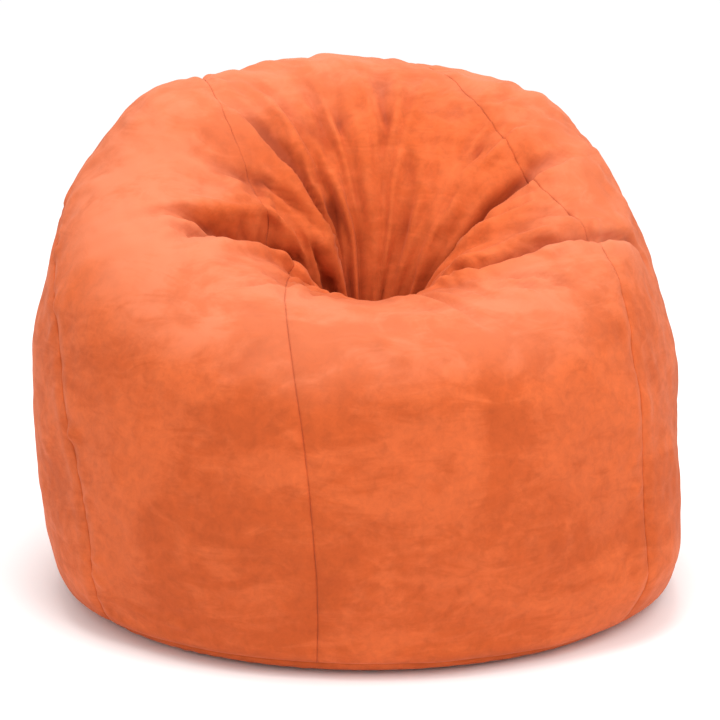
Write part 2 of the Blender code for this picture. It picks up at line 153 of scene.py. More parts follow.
# ---- studio ----
FLOOR_RADIUS = 60.0
SURROUND_BRIGHTNESS = 1.06
LIGHTS_AIM = (0.0, 0.0, 0.35)
LIGHTS = (                             # name, place, size across, power
    ("key_light", (1.6, -2.2, 3.0), 2.2, 40.0),
    ("fill_light", (-3.2, -2.4, 1.8), 3.0, 6.0),
    ("top_light", (-0.1, -0.5, 3.3), 1.8, 55.0),
)

# ---- how the cover's cloth settles ----
CLOTH_STEPS = 16
CLOTH_FULLNESS = 0.05          # spare cloth near the pit, as a share of its length
CLOTH_BENDING = 0.4
CLOTH_GRIP = 0.6
CLOTH_PRESSURE = 0.6
CLOTH_LIMIT = 0.030


def soft_max(a, b, reach):
    share = np.clip(0.5 + 0.5 * (a - b) / reach, 0.0, 1.0)
    return b + (a - b) * share + reach * share * (1.0 - share)


def smooth_step(low, high, value):
    share = np.clip((value - low) / (high - low), 0.0, 1.0)
    return share * share * (3.0 - 2.0 * share)


def body_field(points):
    """Roughly the distance outside the chair's outer surface; negative inside."""
    x, y, z = points[..., 0], points[..., 1], points[..., 2]
    rise = z - WIDEST_HEIGHT
    upper = rise > 0.0
    half_height = np.where(upper, CROWN_RISE, FOOT_DROP)
    power = np.where(upper, CROWN_FULLNESS, FOOT_FULLNESS)
    back = BACK_LEAN * np.maximum(rise, 0.0)
    across = np.hypot((x - SIDE_LEAN * rise) / (BODY_WIDTH / 2), (y - back) / (BODY_DEPTH / 2))
    ball = ((across ** power + np.abs(rise / half_height) ** power) ** (1.0 / power) - 1.0) * BODY_WIDTH / 2
    standing = soft_max(ball, -z, FOOT_ROUNDING)
    slope = (z - SLOPE_HEIGHT - SLOPE_RISE * y) / math.hypot(1.0, SLOPE_RISE)
    return soft_max(standing, slope, SLOPE_ROUNDING) + pit_depth(points)


def pit_depth(points):
    line = np.array((0.0, -PIT_LEAN, 1.0))
    line /= np.linalg.norm(line)
    across = np.array((0.0, line[2], -line[1]))
    reach = points - PIT_PLACE
    aside = reach[..., 0] / PIT_REACH_BESIDE
    ahead = reach @ across / PIT_REACH_ALONG
    below = np.minimum(0.0, reach @ line) / PIT_REACH_BELOW
    return PIT_DEPTH * np.exp(-np.sqrt(aside ** 2 + ahead ** 2 + below ** 2 + 1e-4))


def wrapped(angle):
    return (angle + math.pi) % (2 * math.pi) - math.pi


def bag_direction(turn, fall):
    """World direction of a pattern point: `turn` round the bag, `fall` down from the cap's middle."""
    turn = turn + FRONT_SPREAD * np.sin(turn)
    from_left = np.minimum(1.0, np.abs(wrapped(turn + math.pi / 2)) / LEFT_SEAM_REACH)
    turn = turn + LEFT_SEAM_DRAWN * np.cos(from_left * math.pi / 2) ** 2
    x, y, z = np.sin(fall) * np.sin(turn), -np.sin(fall) * np.cos(turn), np.cos(fall)
    tilt = -CAP_TILT * np.maximum(0.0, 1.0 - fall / BASE_SEAM_ANGLE)
    y, z = y * np.cos(tilt) - z * np.sin(tilt), y * np.sin(tilt) + z * np.cos(tilt)
    c, s = math.cos(BAG_TURN), math.sin(BAG_TURN)
    return np.stack((c * x - s * y, s * x + c * y, z), axis=-1)


def ring_falls():
    steps = np.cumsum((0,) + RING_COUNTS)
    return np.interp(np.arange(steps[-1] + 1), steps, (0.0, CAP_ANGLE, BASE_SEAM_ANGLE, CONTACT_ANGLE, math.pi))


def surface_radii(rays):
    near, far = np.zeros(rays.shape[:-1]), np.full(rays.shape[:-1], 1.6)
    for _ in range(24):
        middle = (near + far) / 2
        outside = body_field(CORE + rays * middle[..., None]) > 0.0
        near, far = np.where(outside, near, middle), np.where(outside, middle, far)
    return near


def grid_normals(grid):
    """Outward normals of a closed grid whose rows run down the bag and columns round it."""
    round_bag = np.roll(grid, -1, axis=1) - np.roll(grid, 1, axis=1)
    down_bag = np.gradient(grid, axis=0)
    normals = np.cross(down_bag, round_bag)
    normals[0], normals[-1] = normals[1].mean(axis=0), normals[-2].mean(axis=0)
    normals /= np.linalg.norm(normals, axis=-1, keepdims=True) + FINE
    outward = np.sign(np.median(np.sum(normals * (grid - CORE), axis=-1)))
    return normals * outward


def smoothed(grid, passes, share=0.5):
    for _ in range(passes):
        down = np.concatenate((grid[1:], grid[-1:]))
        up = np.concatenate((grid[:1], grid[:-1]))
        mean = (np.roll(grid, 1, axis=1) + np.roll(grid, -1, axis=1) + down + up) / 4
        grid = grid + (mean - grid) * share
    return grid


def waves(points, wavelength, seed, count=14):
    """A smooth irregular field between about -1 and 1."""
    rng = np.random.default_rng(seed)
    total = np.zeros(points.shape[:-1])
    for _ in range(count):
        along = rng.normal(size=3)
        along *= 2 * math.pi / (wavelength * rng.uniform(0.75, 1.5)) / np.linalg.norm(along)
        total += np.sin(points @ along + rng.uniform(0, 2 * math.pi))
    return total / math.sqrt(count / 2) / 1.6


def pit_angles(points):
    """Side angle round the pit, from the back, and angle away from it, in degrees."""
    rays = points - CORE
    rays = rays / (np.linalg.norm(rays, axis=-1, keepdims=True) + FINE)
    axis = PIT_PLACE - CORE
    axis /= np.linalg.norm(axis)
    back = np.array((0.0, 1.0, 0.0)) - axis * axis[1]
    back /= np.linalg.norm(back)
    right = np.cross(back, axis)
    away = np.degrees(np.arccos(np.clip(rays @ axis, -1.0, 1.0)))
    return np.degrees(np.arctan2(rays @ right, rays @ back)), away


def crease(side, away, near, far, half_width, depth):
    """Height change of one crease: a valley with a soft ridge on each side."""
    along = np.clip((away - near[1]) / (far[1] - near[1]), 0.0, 1.0)
    middle = near[0] + (far[0] - near[0]) * along ** 0.85
    off = (side - middle + 180.0) % 360.0 - 180.0
    across = off * np.sin(np.radians(away)) / half_width
    fade = smooth_step(near[1] - 4.0, near[1] + 3.0, away) * (1.0 - smooth_step(far[1] - 9.0, far[1] + 3.0, away))
    valley = np.exp(-np.abs(across) ** 1.2)
    ridges = np.exp(-((np.abs(across) - 2.1) / 1.1) ** 2)
    return depth * fade * (0.45 * ridges - 1.15 * valley)


def pleats(side, away, seed, count=46, thin=1.0):
    """Many small folds that run into the pit."""
    rng = np.random.default_rng(seed)
    total = np.zeros(side.shape)
    for _ in range(count):
        start = rng.uniform(-150.0, 150.0)
        near = rng.uniform(8.0, 20.0)
        length = rng.uniform(8.0, 26.0)
        width = rng.uniform(0.8, 1.7)
        depth = rng.uniform(0.003, 0.009) * (1.25 - (near + length) / 60.0)
        far = (start + rng.uniform(-12.0, 12.0), near + length)
        total += crease(side, away, (start, near), far, width * thin, depth * thin)
    return total


def sharp_folds(points, normals):
    """Press the thin folds into a fine mesh, and let them wander a little."""
    side, away = pit_angles(points)
    side = side + 2.2 * waves(points, 0.14, 61, 8)
    height = 1.5 * sum(crease(side, away, *fold) for fold in SHARP_FOLDS) + pleats(side, away, 19, 60, 0.6)
    free = smooth_step(0.05, 0.16, points[..., 2])
    height = np.clip(height, -0.012, 0.009) * free
    lumps = 0.0011 * waves(points, 0.080, 62) + 0.0004 * waves(points, 0.030, 63)
    return points + normals * (height + lumps * free)[..., None], height


def settled(grid, fall, seed):
    """Let the cloth settle: it is cut a little full, so it buckles into soft creases as it relaxes."""
    rings = grid.shape[0] - 1
    bm = bmesh.new()
    bmesh.ops.create_uvsphere(bm, u_segments=COLUMNS, v_segments=rings, radius=1.0)
    mesh = mesh_from(bm, "settling_cloth")
    ball = mesh_points(mesh)
    row = np.rint(np.arccos(np.clip(ball[:, 2], -1.0, 1.0)) / math.pi * rings).astype(int)
    column = np.rint((np.arctan2(ball[:, 0], -ball[:, 1]) + math.pi) / (2 * math.pi) * COLUMNS).astype(int) % COLUMNS
    start = grid[row, column]
    normals = grid_normals(grid)[row, column]
    away = pit_angles(start)[1]
    near_pit = 1.0 - smooth_step(16.0, 62.0, away)
    high = smooth_step(0.10, 0.30, start[:, 2])
    rough = 0.0022 * waves(start, 0.045, seed, 12) * (0.3 + near_pit) * high
    set_mesh_points(mesh, start + normals * rough[:, None])
    cloth_piece = bpy.data.objects.new("settling_cloth", mesh)
    bpy.context.scene.collection.objects.link(cloth_piece)
    hold = cloth_piece.vertex_groups.new(name="hold")
    full = cloth_piece.vertex_groups.new(name="full")
    floor = fall[row, column] > CONTACT_ANGLE - 0.01
    held = np.where(floor, 1.0, 0.10 + 0.30 * (1.0 - high))
    for number, (grip, spare) in enumerate(zip(held, 0.15 + 0.85 * near_pit)):
        hold.add([number], float(grip), "REPLACE")
        full.add([number], float(spare), "REPLACE")
    cloth = cloth_piece.modifiers.new("cloth", "CLOTH")
    how = cloth.settings
    how.quality = 5
    how.mass = 0.3
    how.tension_stiffness = how.compression_stiffness = 15.0
    how.shear_stiffness = 6.0
    how.bending_stiffness = CLOTH_BENDING
    how.tension_damping = how.compression_damping = how.shear_damping = 5.0
    how.bending_damping = 0.5
    how.air_damping = 2.0
    how.vertex_group_mass = "hold"
    how.pin_stiffness = CLOTH_GRIP
    how.vertex_group_shrink = "full"
    how.shrink_min = 0.0
    how.shrink_max = -CLOTH_FULLNESS
    how.use_pressure = True
    how.uniform_pressure_force = CLOTH_PRESSURE
    how.effector_weights.gravity = 0.0
    cloth.collision_settings.use_collision = False
    scene = bpy.context.scene
    cloth.point_cache.frame_start, cloth.point_cache.frame_end = 1, CLOTH_STEPS
    for step in range(1, CLOTH_STEPS + 1):
        scene.frame_set(step)
    result = bpy.data.meshes.new_from_object(cloth_piece.evaluated_get(bpy.context.evaluated_depsgraph_get()))
    points = mesh_points(result)
    moved = points - start
    far = np.linalg.norm(moved, axis=1, keepdims=True)
    points = start + moved * np.minimum(1.0, CLOTH_LIMIT / (far + FINE))
    bpy.data.objects.remove(cloth_piece)
    bpy.data.meshes.remove(result)
    bpy.data.meshes.remove(mesh)
    scene.frame_set(1)
    relaxed = np.array(grid)
    relaxed[row, column] = points
    for pole in (0, -1):
        relaxed[pole] = points[row == (0 if pole == 0 else rings)][0]
    return relaxed - smoothed(relaxed - grid, 60)      # keeps the new creases, and the bag's own form


@functools.lru_cache
def cover_grid():
    """Rest surface of the cover: rows down the bag, columns round it."""
    falls = ring_falls()
    turns = np.linspace(-math.pi, math.pi, COLUMNS, endpoint=False)
    turn, fall = np.meshgrid(turns, falls)
    rays = bag_direction(turn, fall)
    radii = surface_radii(rays)
    on_floor = fall > CONTACT_ANGLE - 1e-6
    radii = np.where(on_floor, CORE[2] / -np.minimum(rays[..., 2], -0.05), radii)
    grid = CORE + rays * radii[..., None]
    free = (~on_floor)[..., None] * smooth_step(0.02, 0.12, grid[..., 2:3])
    grid += (smoothed(grid, 3) - grid) * free
    side, away = pit_angles(grid)
    height = sum(crease(side, away, *fold) for fold in CREASES)
    height += pleats(side, away, 5)
    for place, radius, rise in SWELLS:
        height += rise * np.exp(-np.sum((grid - np.array(place)) ** 2, axis=-1) / radius ** 2)
    height += 0.005 * waves(grid, 0.30, 11) + 0.0016 * waves(grid, 0.11, 12)
    grid += grid_normals(grid) * height[..., None] * free
    grid = settled(grid, fall, 21)
    return grid


@functools.lru_cache
def layer(inset=0.0, floor=0.0):
    """Grid, normals, fold depths for the painted fold shade and a mask of upward faces for the painted highlight, of
    the cover or of a layer under its deepest folds.
    """
    grid = cover_grid()
    if inset:
        reach = np.linalg.norm(grid - CORE, axis=-1)
        rays = (grid - CORE) / (reach[..., None] + FINE)
        lowest = reach
        for _ in range(6):
            down = np.concatenate((lowest[1:], lowest[-1:]))
            up = np.concatenate((lowest[:1], lowest[:-1]))
            lowest = np.minimum.reduce((lowest, down, up, np.roll(lowest, 1, 1), np.roll(lowest, -1, 1)))
        folded = smooth_step(0.10, 0.24, grid[..., 2])         # the foot has no folds to stay under
        lowest = reach + (np.minimum(smoothed(lowest[..., None], 10)[..., 0], reach) - reach) * folded
        grid = CORE + rays * (lowest - inset)[..., None]
        grid[..., 2] = np.maximum(grid[..., 2], floor)
    normals = grid_normals(smoothed(grid, 1))
    # Fold depth: drives the painted shade in the folds and the painted highlight on their ridges
    depth = np.sum((smoothed(grid, 14) - grid) * normals, axis=-1)
    # Painted highlight mask: upward faces away from the pit, paled to stand for the top light's sheen
    facing_up = smooth_step(0.30, 0.90, grid_normals(smoothed(grid, 4))[..., 2])
    painted_highlight_mask = facing_up * smooth_step(20.0, 34.0, pit_angles(grid)[1])
    return grid, normals, np.clip(0.5 + depth / 0.012, 0.0, 1.0), painted_highlight_mask


def sampled(grid, turn, fall):
    """Value of a grid at pattern points, on smooth curves through its rows and columns."""
    columns = grid.shape[1]
    across = (np.asarray(turn) + math.pi) / (2 * math.pi) * columns
    down = np.interp(fall, ring_falls(), np.arange(grid.shape[0]))
    i, j = np.floor(down).astype(int), np.floor(across).astype(int)
    v, u = down - i, across - j

    def shares(t):
        return (
            (-t ** 3 + 2 * t ** 2 - t) / 2, (3 * t ** 3 - 5 * t ** 2 + 2) / 2,
            (-3 * t ** 3 + 4 * t ** 2 + t) / 2, (t ** 3 - t ** 2) / 2,
        )

    total = 0.0
    for row, row_share in enumerate(shares(v)):
        for column, column_share in enumerate(shares(u)):
            picked = grid[np.clip(i + row - 1, 0, grid.shape[0] - 1), (j + column - 1) % columns]
            share = row_share * column_share
            total = total + picked * (share[..., None] if picked.ndim > share.ndim else share)
    return total


def mesh_points(mesh):
    co = np.zeros(len(mesh.vertices) * 3, np.float32)
    mesh.vertices.foreach_get("co", co)
    return co.reshape(-1, 3).astype(float)


def set_mesh_points(mesh, points):
    mesh.vertices.foreach_set("co", np.asarray(points, np.float32).ravel())
    mesh.update()


def set_mark(mesh, name, values):
    layer = mesh.attributes.new(name, "FLOAT", "POINT")
    layer.data.foreach_set("value", np.asarray(values, np.float32).ravel())


# ---- materials ---------------------------------------------------------------------------------
class Nodes:
    """Short ways to add and join a node tree's nodes."""

    def __init__(self, tree):
        self.tree = tree

    def add(self, kind, inputs=None, **values):
        node = self.tree.nodes.new(kind)
        for name, value in values.items():
            setattr(node, name, value)
        for name, value in (inputs or {}).items():
            if isinstance(value, bpy.types.NodeSocket):
                self.tree.links.new(value, node.inputs[name])
            else:
                node.inputs[name].default_value = value
        return node

    def noise(self, vector, scale, detail=4.0, roughness=0.55, distortion=0.0):
        inputs = {"Vector": vector, "Scale": scale, "Detail": detail, "Roughness": roughness, "Distortion": distortion}
        return self.add("ShaderNodeTexNoise", inputs).outputs["Fac"]

    def ramp(self, factor, *stops):
        node = self.add("ShaderNodeValToRGB", {"Fac": factor})
        ramp = node.color_ramp
        while len(ramp.elements) < len(stops):
            ramp.elements.new(0.5)
        for element, (place, colour) in zip(ramp.elements, stops):
            element.position = place
            element.color = colour if len(colour) == 4 else (*colour, 1.0)
        return node.outputs["Color"]

    def mix(self, factor, a, b, blend="MIX"):
        node = self.add("ShaderNodeMix", data_type="RGBA", blend_type=blend)
        for socket, value in zip((node.inputs[0], node.inputs[6], node.inputs[7]), (factor, a, b)):
            if isinstance(value, bpy.types.NodeSocket):
                self.tree.links.new(value, socket)
            else:
                socket.default_value = value if isinstance(value, float) else (*value, 1.0)[:4]
        return node.outputs[2]

    def math(self, operation, a, b=0.0, c=0.0):
        node = self.add("ShaderNodeMath", operation=operation)
        for socket, value in zip(node.inputs, (a, b, c)):
            if isinstance(value, bpy.types.NodeSocket):
                self.tree.links.new(value, socket)
            else:
                socket.default_value = value
        return node.outputs[0]


def new_group(name, inputs, outputs):
    """A shader node group with named sockets: (name, kind, default) in, (name, kind) out."""
    tree = bpy.data.node_groups.new(name, "ShaderNodeTree")
    for label, kind, default in inputs:
        socket = tree.interface.new_socket(label, in_out="INPUT", socket_type=kind)
        if default is not None:
            socket.default_value = default
    for label, kind in outputs:
        tree.interface.new_socket(label, in_out="OUTPUT", socket_type=kind)
    nodes = Nodes(tree)
    return tree, nodes, nodes.add("NodeGroupInput"), nodes.add("NodeGroupOutput")


def nap_group():
    """Brushed nap: soft patches where the pile lies one way or the other, and the fine pile itself."""
    found = bpy.data.node_groups.get("Brushed Nap")
    if found:
        return found
    tree, nodes, given, out = new_group(
        "Brushed Nap",
        (
            ("Vector", "NodeSocketVector", None),
            ("Patch Scale", "NodeSocketFloat", 4.0),
            ("Pile Scale", "NodeSocketFloat", 700.0),
        ),
        (("Patches", "NodeSocketFloat"), ("Mottle", "NodeSocketFloat"), ("Height", "NodeSocketFloat")),
    )
    vector = given.outputs["Vector"]
    broad = nodes.noise(vector, given.outputs["Patch Scale"], 5.0, 0.62, 0.9)
    streaked = nodes.add("ShaderNodeMapping", {"Vector": vector, "Rotation": (0.3, 0.5, 0.4), "Scale": (1.0, 1.0, 2.6)})
    smears = nodes.noise(streaked.outputs["Vector"], 9.0, 5.0, 0.65, 1.4)
    both = nodes.math("ADD", nodes.math("MULTIPLY", broad, 0.6), nodes.math("MULTIPLY", smears, 0.4))
    edge = nodes.add(
        "ShaderNodeMapRange", {"Value": both, "From Min": 0.42, "From Max": 0.60},
        interpolation_type="SMOOTHSTEP",
    )
    mottle = nodes.noise(vector, 60.0, 6.0, 0.7, 0.4)
    pile = nodes.noise(vector, given.outputs["Pile Scale"], 3.0, 0.7)
    brushed = nodes.noise(vector, 160.0, 4.0, 0.6, 0.5)
    height = nodes.math("ADD", nodes.math("MULTIPLY", pile, 0.5), nodes.math("MULTIPLY", brushed, 0.5))
    for label, value in (("Patches", edge.outputs["Result"]), ("Mottle", mottle), ("Height", height)):
        tree.links.new(value, out.inputs[label])
    return tree


def weave_group():
    """Plain weave: threads that cross over and under, at a given pitch along X and Y."""
    found = bpy.data.node_groups.get("Plain Weave")
    if found:
        return found
    tree, nodes, given, out = new_group(
        "Plain Weave",
        (("Vector", "NodeSocketVector", None), ("Threads", "NodeSocketFloat", 900.0)),
        (("Height", "NodeSocketFloat"), ("Slubs", "NodeSocketFloat")),
    )
    scaled = nodes.add(
        "ShaderNodeVectorMath", {0: given.outputs["Vector"], 3: given.outputs["Threads"]}, operation="SCALE",
    )
    apart = nodes.add("ShaderNodeSeparateXYZ", {"Vector": scaled.outputs["Vector"]})
    across = nodes.math("SINE", nodes.math("ADD", apart.outputs["X"], apart.outputs["Z"]))
    along = nodes.math("SINE", nodes.math("ADD", apart.outputs["Y"], apart.outputs["Z"]))
    height = nodes.math("ABSOLUTE", nodes.math("MULTIPLY", across, along))
    slubs = nodes.noise(given.outputs["Vector"], 40.0, 5.0, 0.6, 0.3)
    tree.links.new(height, out.inputs["Height"])
    tree.links.new(slubs, out.inputs["Slubs"])
    return tree


def new_material(name, roughness, metallic=0.0):
    material = bpy.data.materials.new(name)
    material.use_nodes = True
    nodes = Nodes(material.node_tree)
    shader = material.node_tree.nodes["Principled BSDF"]
    shader.inputs["Roughness"].default_value = roughness
    shader.inputs["Metallic"].default_value = metallic
    place = nodes.add("ShaderNodeTexCoord").outputs["Object"]
    return material, nodes, shader, place


def add_group(nodes, tree, inputs):
    node = nodes.add("ShaderNodeGroup", node_tree=tree)
    for name, value in inputs.items():
        if isinstance(value, bpy.types.NodeSocket):
            nodes.tree.links.new(value, node.inputs[name])
        else:
            node.inputs[name].default_value = value
    return node


def add_bump(nodes, shader, height, distance, strength=1.0):
    bump = nodes.add("ShaderNodeBump", {"Height": height, "Distance": distance, "Strength": strength})
    nodes.tree.links.new(bump.outputs["Normal"], shader.inputs["Normal"])


def suede_material():
    """Brushed micro-suede, with painted shade down in the folds, a painted highlight along their ridges and a paler
    painted highlight on its upward faces.
    """
    found = bpy.data.materials.get("Orange micro-suede")
    if found:
        return found
    colours = bpy.context.scene.bean_bag_finishes
    material, nodes, shader, place = new_material("Orange micro-suede", 0.85)
    nap = add_group(nodes, nap_group(), {"Vector": place, "Patch Scale": 4.2, "Pile Scale": 900.0})
    fold = nodes.add("ShaderNodeAttribute", attribute_name="fold", attribute_type="GEOMETRY").outputs["Fac"]
    base = nodes.mix(nap.outputs["Patches"], tuple(colours.suede_against), tuple(colours.suede_with))
    spots = nodes.ramp(
        nap.outputs["Mottle"], (0.30, (0.86, 0.86, 0.86)), (0.52, (1.0, 1.0, 1.0)), (0.72, (1.10, 1.10, 1.10)),
    )
    base = nodes.mix(1.0, base, spots, "MULTIPLY")
    # Painted shade: darker down in the folds, and a painted highlight (paler) along their ridges
    painted_shading = nodes.ramp(
        fold, (0.15, (1.12, 1.16, 1.18)), (0.50, (1.0, 1.0, 1.0)), (0.78, (0.84, 0.72, 0.62)),
        (1.0, (0.60, 0.44, 0.34)),
    )
    base = nodes.mix(1.0, base, painted_shading, "MULTIPLY")
    # Painted highlight: upward faces mixed toward a paler colour, as the top light's sheen would make them
    painted_highlight_mask = nodes.add("ShaderNodeAttribute", attribute_name="painted_highlight_mask", attribute_type="GEOMETRY").outputs["Fac"]
    painted_highlight_share = nodes.math(
        "MULTIPLY", painted_highlight_mask, nodes.math("ADD", nodes.math("MULTIPLY", nap.outputs["Patches"], 0.45), 0.55),
    )
    base = nodes.mix(painted_highlight_share, base, tuple(colours.suede_painted_highlight))
    nodes.tree.links.new(base, shader.inputs["Base Color"])
    rough = nodes.add("ShaderNodeMapRange", {"Value": nap.outputs["Patches"], "To Min": 0.90, "To Max": 0.75})
    nodes.tree.links.new(rough.outputs["Result"], shader.inputs["Roughness"])
    shader.inputs["Sheen Weight"].default_value = 0.12
    shader.inputs["Sheen Roughness"].default_value = 0.45
    shader.inputs["Sheen Tint"].default_value = (1.0, 0.55, 0.38, 1.0)
    shader.inputs["Specular IOR Level"].default_value = 0.20
    add_bump(nodes, shader, nap.outputs["Height"], 0.0007, 0.55)
    return material


def woven_material(name, colour, threads, roughness=0.8, depth=0.0002):
    found = bpy.data.materials.get(name)
    if found:
        return found
    material, nodes, shader, place = new_material(name, roughness)
    weave = add_group(nodes, weave_group(), {"Vector": place, "Threads": threads})
    low, high = [tuple(min(1.0, part * share) for part in colour) for share in (0.82, 1.08)]
    base = nodes.mix(weave.outputs["Slubs"], low, high)
    # Painted shade: the weave's low parts darker, where shade falls between the threads
    painted_shading = nodes.ramp(weave.outputs["Height"], (0.0, (0.80, 0.80, 0.80)), (0.6, (1.0, 1.0, 1.0)))
    nodes.tree.links.new(nodes.mix(1.0, base, painted_shading, "MULTIPLY"), shader.inputs["Base Color"])
    shader.inputs["Sheen Weight"].default_value = 0.2
    add_bump(nodes, shader, weave.outputs["Height"], depth, 0.6)
    return material


def speckled_material(name, colour, roughness, metallic=0.0, grain=300.0, depth=0.0001, spread=0.12):
    """Nylon, zinc or foam: a base colour with fine variation, and a fine surface grain."""
    found = bpy.data.materials.get(name)
    if found:
        return found
    material, nodes, shader, place = new_material(name, roughness, metallic)
    broad = nodes.noise(place, grain / 12, 4.0, 0.6, 0.3)
    fine = nodes.noise(place, grain, 3.0, 0.6)
    low, high = [tuple(min(1.0, part * share) for part in colour) for share in (1.0 - spread, 1.0 + spread)]
    nodes.tree.links.new(nodes.mix(broad, low, high), shader.inputs["Base Color"])
    rough = nodes.add(
        "ShaderNodeMapRange", {"Value": fine, "To Min": roughness * 0.85, "To Max": min(1.0, roughness * 1.2)},
    )
    nodes.tree.links.new(rough.outputs["Result"], shader.inputs["Roughness"])
    add_bump(nodes, shader, fine, depth, 0.5)
    return material


# ---- pieces ------------------------------------------------------------------------------------
def finish_piece(name, mesh, material, stands_for, body="bag"):
    """Put a mesh in the scene as one named piece that rides on a body."""
    piece = bpy.data.objects.new(name, mesh)
    bpy.context.scene.collection.objects.link(piece)
    mesh.materials.clear()
    mesh.materials.append(material)
    mesh.shade_smooth()
    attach(piece, body)
    if stands_for:
        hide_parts(*stands_for)
    return piece


def mesh_from(bm, name):
    mesh = bpy.data.meshes.new(name)
    bm.to_mesh(mesh)
    bm.free()
    return mesh


def walled(mesh, name, thickness):
    """The same mesh with a wall of cloth inside it, as one closed shell."""
    holder = bpy.data.objects.new(f"{name}_shell", mesh)
    bpy.context.scene.collection.objects.link(holder)
    solid = holder.modifiers.new("wall", "SOLIDIFY")
    solid.thickness = thickness
    solid.offset = -1.0
    solid.use_even_offset = False
    bpy.context.view_layer.update()
    evaluated = holder.evaluated_get(bpy.context.evaluated_depsgraph_get())
    result = bpy.data.meshes.new_from_object(evaluated)
    bpy.data.objects.remove(holder)
    bpy.data.meshes.remove(mesh)
    result.name = name
    return result


def seam_shape(points, normals, beside, along, seed, groove, pucker):
    """Draw cloth in at a seam `beside` metres away, and gather it in small folds square to the seam."""
    rng = np.random.default_rng(seed)
    beside = np.maximum(beside, 0.0)
    dip = -groove * np.exp(-(beside / 0.012) ** 1.2)
    turned_in = -0.0012 * (1.0 - smooth_step(0.0, 0.0020, beside))
    gathers = 0.0
    for _ in range(7):
        step = rng.uniform(0.017, 0.052)
        slant = rng.uniform(-0.5, 0.5)
        gathers = gathers + np.sin(2 * math.pi * (along + slant * beside) / step + rng.uniform(0, 2 * math.pi))
    gathers = np.maximum(gathers / 2.4 - 0.15, -0.6) * (0.75 + 0.75 * waves(points, 0.10, seed + 1, 8))
    reach = 0.026 + 0.012 * waves(points, 0.12, seed + 2, 8)
    puff = 0.0016 * np.exp(-((beside - 0.018) / 0.012) ** 2)
    gathers = gathers * (1.0 - np.exp(-beside / 0.005))        # both sides of a seam meet at one height
    height = dip + turned_in + puff + pucker * gathers * np.exp(-beside / reach)
    return points + normals * height[..., None]


def side_mesh(name, middle, half_turn, segments, cloth_layer, wall, groove=0.0030, pucker=0.0030, thin_folds=True):
    """One side panel of a layer, from the cap's seam down to the base seam."""
    grid, grid_out, painted_fold_shade, painted_highlight_mask = cloth_layer
    bm = bmesh.new()
    bmesh.ops.create_grid(bm, x_segments=segments[0], y_segments=segments[1], size=1.0)
    mesh = mesh_from(bm, name)
    flat = mesh_points(mesh)
    across = 0.62 * flat[:, 0] + 0.38 * np.sin(flat[:, 0] * math.pi / 2)
    down = 0.5 - 0.5 * (0.8 * flat[:, 1] + 0.2 * np.sin(flat[:, 1] * math.pi / 2))
    turn = middle + across * half_turn * (1.0 + SEAM_OVERLAP)
    fall = CAP_ANGLE + down * (BASE_SEAM_ANGLE - CAP_ANGLE)
    turn = wrapped(turn)
    points = sampled(grid, turn, fall)
    normals = sampled(grid_out, turn, fall)
    pressed = 0.0
    if thin_folds:
        points, pressed = sharp_folds(points, normals)
    width = half_turn * np.sin(fall) * np.linalg.norm(points - CORE, axis=-1)
    beside = (1.0 - np.abs(across)) * width
    length = (BASE_SEAM_ANGLE - CAP_ANGLE) * 0.6
    to_end = np.minimum(down, 1.0 - down) * length
    rounding = smooth_step(0.0, 0.05, to_end)
    seed = 40 + int(round(math.degrees(middle)))
    along = fall * np.linalg.norm(points - CORE, axis=-1) + np.where(across > 0.0, 0.0, 0.7)
    pucker = pucker * (0.4 + 0.6 * rounding) * np.where(across > 0.0, 0.7, 1.2)
    points = seam_shape(points, normals, np.minimum(beside, to_end), along, seed % 97, groove, pucker)
    set_mesh_points(mesh, points)
    # Fold mark for the painted shade in the folds and the painted highlight on their ridges
    set_mark(mesh, "fold", np.clip(sampled(painted_fold_shade, turn, fall) - pressed / 0.022, 0.0, 1.0))
    # Mask for the painted highlight on upward faces
    set_mark(mesh, "painted_highlight_mask", sampled(painted_highlight_mask, turn, fall))
    return walled(mesh, name, wall)


def cap_mesh(name, cloth_layer, wall, rings=48, columns=192, thin_folds=True):
    """The round cap, from its middle out to the side panels' seam."""
    grid, grid_out, painted_fold_shade, painted_highlight_mask = cloth_layer
    bm = bmesh.new()
    bmesh.ops.create_circle(bm, cap_ends=True, radius=1.0, segments=columns)
    bmesh.ops.poke(bm, faces=list(bm.faces))
    spokes = [edge for edge in bm.edges if not edge.is_boundary]
    bmesh.ops.subdivide_edges(bm, edges=spokes, cuts=rings, use_grid_fill=True)
    mesh = mesh_from(bm, name)
    flat = mesh_points(mesh)
    out = np.hypot(flat[:, 0], flat[:, 1])
    turn = np.arctan2(flat[:, 0], -flat[:, 1])
    fall = np.clip(out, 0.0, 1.0) * CAP_ANGLE
    points = sampled(grid, turn, fall)
    normals = sampled(grid_out, turn, fall)
    pressed = 0.0
    if thin_folds:
        points, pressed = sharp_folds(points, normals)
    beside = (CAP_ANGLE - fall) * np.linalg.norm(points - CORE, axis=-1)
    points = seam_shape(points, normals, beside, turn * 0.2, 71, 0.0030, 0.0022)
    set_mesh_points(mesh, points)
    # Fold mark for the painted shade in the folds and the painted highlight on their ridges
    set_mark(mesh, "fold", np.clip(sampled(painted_fold_shade, turn, fall) - pressed / 0.022, 0.0, 1.0))
    # Mask for the painted highlight on upward faces
    set_mark(mesh, "painted_highlight_mask", sampled(painted_highlight_mask, turn, fall))
    return walled(mesh, name, wall)


